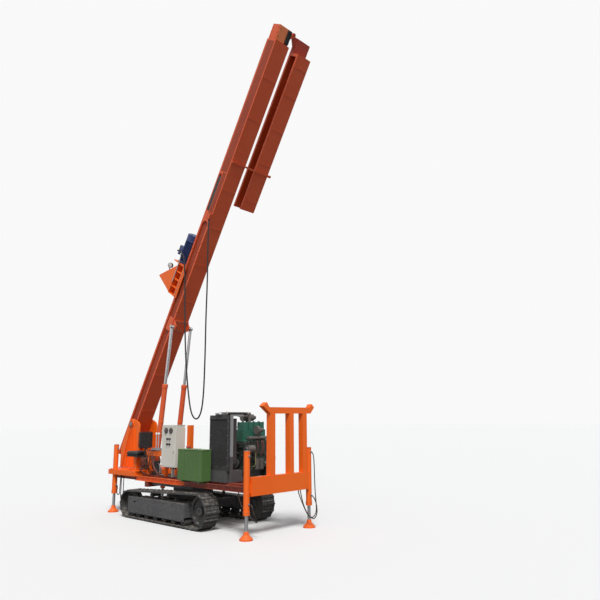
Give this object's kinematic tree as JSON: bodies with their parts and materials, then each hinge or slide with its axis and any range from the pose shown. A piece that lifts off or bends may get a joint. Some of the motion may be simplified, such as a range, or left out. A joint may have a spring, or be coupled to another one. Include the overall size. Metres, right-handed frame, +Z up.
{
  "type": "pile driver rig",
  "caption": "Tracked pile driver rig with a leaning box mast, a folded upper section, a sliding power head, lift cylinders, support legs, open engine and seat.",
  "frame": {"origin": "on the ground under the middle of the overall box", "axes": "+X points to the rear, where the cradle stands, +Y to the far side in the picture, +Z up"},
  "size_m": [5.3192, 1.755, 9.7841],
  "materials": {
    "orange_paint": "satin, weathered",
    "red_paint": "matt, weathered",
    "black_paint": "matt",
    "track_steel": "dusty",
    "steel": "ground",
    "green_paint": "satin",
    "engine_paint": "satin",
    "cream_paint": "satin",
    "blue_paint": "satin",
    "grey_paint": "matt",
    "rope": "fibrous",
    "black_rubber": "matt",
    "seat_cover": "worn"
  },
  "bodies": {
    "chassis": {"track_near": "track_steel", "track_far": "track_steel", "track_frame_near": "black_paint", "track_frame_far": "black_paint", "wheels_near": "black_paint", "wheels_far": "black_paint", "cross_frame": "black_paint", "main_frame": "red_paint", "front_platform": "orange_paint", "rear_beam": "orange_paint", "cradle": "orange_paint", "leg_tube_front_near": "orange_paint", "leg_tube_front_far": "orange_paint", "leg_tube_rear_near": "orange_paint", "leg_tube_rear_far": "orange_paint", "mast_stand": "orange_paint", "winch_frame": "orange_paint", "cabinet": "cream_paint", "fuel_tank": "green_paint", "radiator": "black_paint", "engine": "engine_paint", "engine_parts": "grey_paint", "base_box": "grey_paint", "controls_stand": "orange_paint", "seat_cushion": "seat_cover"},
    "foot_front_near": {"leg_foot_front_near": "steel"},
    "foot_front_far": {"leg_foot_front_far": "steel"},
    "foot_rear_near": {"leg_foot_rear_near": "steel"},
    "foot_rear_far": {"leg_foot_rear_far": "steel"},
    "mast": {"mast_beam": "orange_paint", "lift_bracket": "orange_paint", "mast_head": "orange_paint", "clamp_bar": "red_paint", "mast_strip": "black_paint", "power_cable": "black_rubber"},
    "upper_mast": {"upper_section": "red_paint", "upper_neck": "red_paint"},
    "power_head": {"carriage": "orange_paint", "drive_motor": "blue_paint"},
    "drive_output": {"drive_flange": "steel"},
    "winch": {"winch_drum": "rope"},
    "door": {"cabinet_door": "cream_paint"},
    "fan": {"engine_fan": "black_paint"},
    "barrels": {"lift_barrels": "orange_paint"},
    "rods": {"lift_rods": "steel"}
  },
  "joints": [
    {"name": "leg_front_near", "type": "slide", "parent": "chassis", "child": "foot_front_near", "axis": [0, 0, 1], "range_m": [0, 0.24]},
    {"name": "leg_front_far", "type": "slide", "parent": "chassis", "child": "foot_front_far", "axis": [0, 0, 1], "range_m": [0, 0.24]},
    {"name": "leg_rear_near", "type": "slide", "parent": "chassis", "child": "foot_rear_near", "axis": [0, 0, 1], "range_m": [0, 0.24]},
    {"name": "leg_rear_far", "type": "slide", "parent": "chassis", "child": "foot_rear_far", "axis": [0, 0, 1], "range_m": [0, 0.24]},
    {"name": "mast_tilt", "type": "hinge", "parent": "chassis", "child": "mast", "pos_m": [-2.02861, -0.09, 1.85], "axis": [0, 1, 0], "range_deg": [-30.8, 53.8], "deforming": ["power_cable"]},
    {"name": "mast_fold", "type": "hinge", "parent": "mast", "child": "upper_mast", "pos_m": [2.49792, 0.235, 9.71675], "axis": [0.859, 0, -0.512], "range_deg": [0, 180]},
    {"name": "head_slide", "type": "slide", "parent": "mast", "child": "power_head", "axis": [0.512, 0, 0.859], "range_m": [-2.6, 4]},
    {"name": "drive_spin", "type": "hinge", "parent": "power_head", "child": "drive_output", "pos_m": [-0.96574, -0.09, 5.00005], "axis": [0.512, 0, 0.859], "continuous": true},
    {"name": "winch_spin", "type": "hinge", "parent": "chassis", "child": "winch", "pos_m": [-1.65361, -0.09, 1.04], "axis": [0, 1, 0], "continuous": true},
    {"name": "fan_spin", "type": "hinge", "parent": "chassis", "child": "fan", "pos_m": [1.32139, -0.2, 1.39], "axis": [0, 1, 0], "continuous": true},
    {"name": "door_hinge", "type": "hinge", "parent": "chassis", "child": "door", "pos_m": [-0.22761, -0.731, 1.435], "axis": [0, 0, -1], "range_deg": [0, 110]},
    {"name": "barrel_hinge", "type": "hinge", "parent": "chassis", "child": "barrels", "pos_m": [-1.04861, -0.09, 0.7], "axis": [0, 1, 0], "range_deg": [-25, 43.5]},
    {"name": "rod_slide", "type": "slide", "parent": "barrels", "child": "rods", "axis": [0.1365, 0, 0.9906], "range_m": [-1.09, 0.63]}
  ],
  "couplings": [
    {"joint": "barrel_hinge", "follows": "mast_tilt", "ratio": 0.8},
    {"joint": "rod_slide", "follows": "mast_tilt", "m_per_rad": -1.15}
  ]
}
